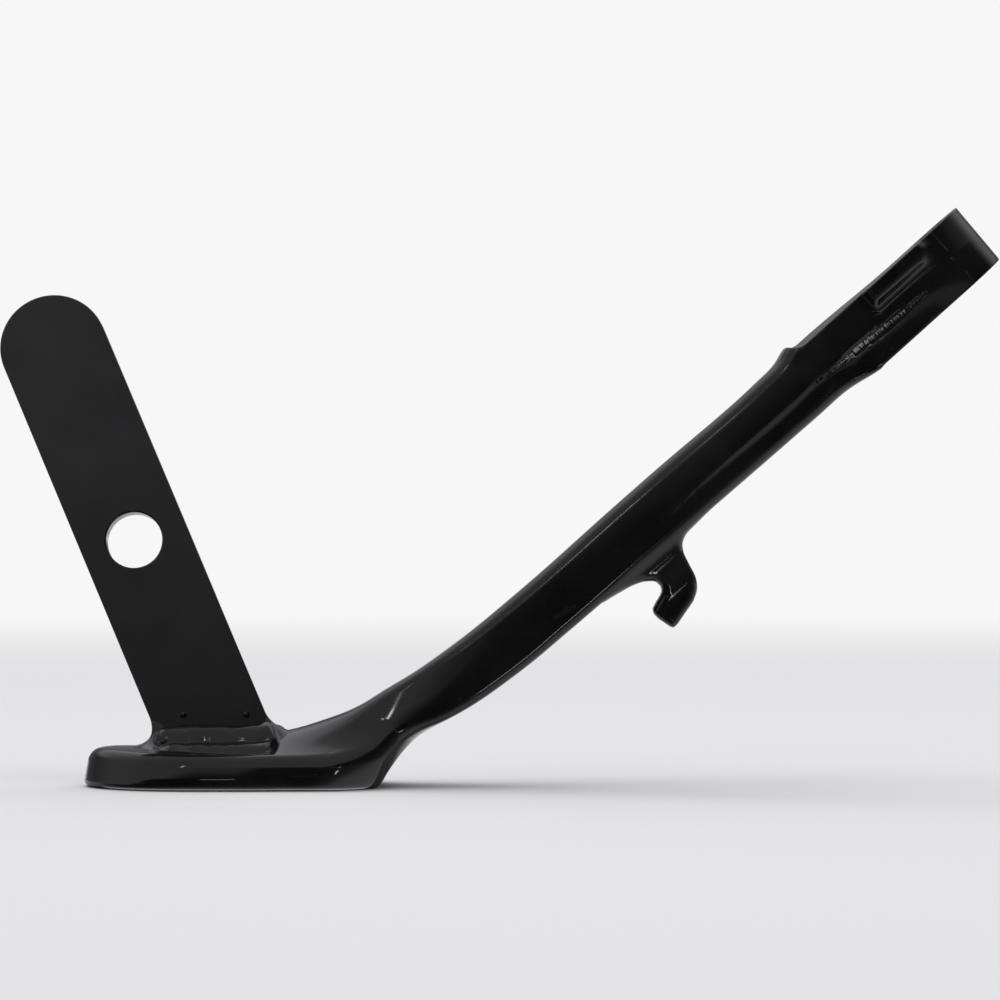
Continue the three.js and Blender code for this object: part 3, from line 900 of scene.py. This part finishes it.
def studio_world():
    """Pale to the camera; as light, a bright wall behind, soft overhead, dim room in front."""
    world = bpy.data.worlds.new("studio")
    bpy.context.scene.world = world
    world.use_nodes = True
    nodes, links = world.node_tree.nodes, world.node_tree.links
    nodes.clear()
    coord = nodes.new("ShaderNodeTexCoord")
    parts = nodes.new("ShaderNodeSeparateXYZ")
    links.new(coord.outputs["Generated"], parts.inputs["Vector"])

    def tone(direction, stops):
        along = nodes.new("ShaderNodeVectorMath")
        along.operation = "DOT_PRODUCT"
        along.inputs[1].default_value = direction
        links.new(coord.outputs["Generated"], along.inputs[0])
        unit = nodes.new("ShaderNodeMapRange")
        unit.inputs["From Min"].default_value = -1
        unit.inputs["From Max"].default_value = 1
        links.new(along.outputs["Value"], unit.inputs["Value"])
        tones = ramp(nodes, stops)
        links.new(unit.outputs["Result"], tones.inputs["Fac"])
        return tones.outputs["Color"]

    def total(first, second):
        both = nodes.new("ShaderNodeMix")
        both.data_type = "RGBA"
        both.blend_type = "ADD"
        both.inputs[0].default_value = 1.0
        links.new(first, both.inputs[6])
        links.new(second, both.inputs[7])
        return both.outputs[2]

    front = total(tone((-0.40, 0.0, 0.90), FRONT_UP), tone((-0.60, 0.0, 0.80), FRONT_DOWN))
    back = tone((0, 0, 1), BACK_TONES)
    side = nodes.new("ShaderNodeMapRange")
    side.interpolation_type = "SMOOTHSTEP"
    side.inputs["From Min"].default_value = -0.35
    side.inputs["From Max"].default_value = 0.35
    links.new(parts.outputs["Y"], side.inputs["Value"])
    both = nodes.new("ShaderNodeMix")
    both.data_type = "RGBA"
    links.new(side.outputs["Result"], both.inputs[0])
    links.new(front, both.inputs[6])
    links.new(back, both.inputs[7])
    path = nodes.new("ShaderNodeLightPath")
    seen = nodes.new("ShaderNodeMix")
    seen.data_type = "RGBA"
    seen.inputs[7].default_value = BACKDROP
    links.new(path.outputs["Is Camera Ray"], seen.inputs[0])
    links.new(both.outputs[2], seen.inputs[6])
    backdrop = nodes.new("ShaderNodeBackground")
    links.new(seen.outputs[2], backdrop.inputs["Color"])
    out = nodes.new("ShaderNodeOutputWorld")
    links.new(backdrop.outputs["Background"], out.inputs["Surface"])


studio_world()


def studio_floor():
    """Pale floor under the sole, fading to the backdrop; only its back half is reflected."""
    material = bpy.data.materials.new("studio_pale")
    material.use_nodes = True
    nodes, links = material.node_tree.nodes, material.node_tree.links
    shader = nodes["Principled BSDF"]
    shader.inputs["Base Color"].default_value = (0.85, 0.85, 0.85, 1)
    shader.inputs["Roughness"].default_value = 0.9
    far = nodes.new("ShaderNodeEmission")
    far.inputs["Color"].default_value = BACKDROP
    coord = nodes.new("ShaderNodeTexCoord")
    length = nodes.new("ShaderNodeVectorMath")
    length.operation = "LENGTH"
    links.new(coord.outputs["Object"], length.inputs[0])
    fade = nodes.new("ShaderNodeMapRange")
    fade.interpolation_type = "SMOOTHSTEP"
    fade.inputs["From Min"].default_value = 0.5
    fade.inputs["From Max"].default_value = 1.6
    links.new(length.outputs["Value"], fade.inputs["Value"])
    mix = nodes.new("ShaderNodeMixShader")
    links.new(fade.outputs["Result"], mix.inputs[0])
    links.new(shader.outputs["BSDF"], mix.inputs[1])
    links.new(far.outputs["Emission"], mix.inputs[2])
    links.new(mix.outputs["Shader"], nodes["Material Output"].inputs["Surface"])
    wide, split, below_sole = 6, -0.012, 0.0002
    halves = (("floor_front", -wide, split, False), ("floor_back", split, wide, True))
    for name, y0, y1, glossy in halves:
        corners = [(-wide, y0, 0), (wide, y0, 0), (wide, y1, 0), (-wide, y1, 0)]
        mesh = bpy.data.meshes.new(name)
        mesh.from_pydata(corners, [], [(0, 1, 2, 3)])
        mesh.materials.append(material)
        floor = bpy.data.objects.new(name, mesh)
        floor.location = (-0.13, 0, SOLE * MM - below_sole)
        floor.visible_glossy = glossy
        bpy.context.scene.collection.objects.link(floor)


def area_light(name, place, aim, width, height, power, glossy=True):
    """A rectangular light (in metres and watts) that the camera does not see."""
    data = bpy.data.lights.new(name, "AREA")
    data.shape = "RECTANGLE"
    data.size, data.size_y, data.energy = width, height, power
    light = bpy.data.objects.new(name, data)
    light.location = place
    direction = np.array(aim, float) - np.array(place, float)
    light.rotation_mode = "QUATERNION"
    light.rotation_quaternion = Vector(direction).to_track_quat("-Z", "Y")
    light.visible_glossy = glossy
    light.visible_camera = False
    bpy.context.scene.collection.objects.link(light)
    return light


studio_floor()
area_light("overhead", (-0.1, 0.1, 1.8), (-0.13, 0, -0.16), 1.6, 1.6, 18, glossy=False)
area_light("strip_left", (-0.72, -1.55, 0.66), (-0.13, 0, -0.06), 0.04, 0.13, 0.24)
area_light("glow_wide", (0.19, -1.55, -0.09), (-0.05, 0, -0.04), 0.24, 0.20, 0.038)
area_light("glow_narrow", (0.145, -1.56, -0.06), (-0.05, 0, -0.04), 0.15, 0.16, 0.022)
area_light("card_head", (0.50, -1.55, -0.34), (-0.03, 0, -0.03), 0.08, 0.14, 0.16)
area_light("strip_head", (-0.72, -1.55, 0.96), (-0.03, 0, -0.03), 0.06, 0.12, 0.16)
area_light("card_foot", (-0.36, -1.55, -0.62), (-0.22, 0, -0.155), 0.06, 0.20, 0.20)
area_light("strip_right", (0.56, -1.55, -0.95), (-0.13, 0, -0.06), 0.06, 0.3, 0.6)
bpy.context.scene.view_settings.view_transform = "Standard"

# The camera looks level along +Y and sees VIEW_WIDTH metres at y = 0.
VIEW_WIDTH, DISTANCE, SENSOR = 0.305, 1.020, 36

camera_data = bpy.data.cameras.new("camera")
camera_data.sensor_width = SENSOR
camera_data.lens = SENSOR * DISTANCE / VIEW_WIDTH
camera_data.clip_start = 0.01
camera_data.clip_end = 50
camera = bpy.data.objects.new("camera", camera_data)
camera.location = (-0.13667, -DISTANCE, -0.07326)
camera.rotation_euler = (math.radians(90), 0, 0)
bpy.context.scene.collection.objects.link(camera)
bpy.context.scene.camera = camera
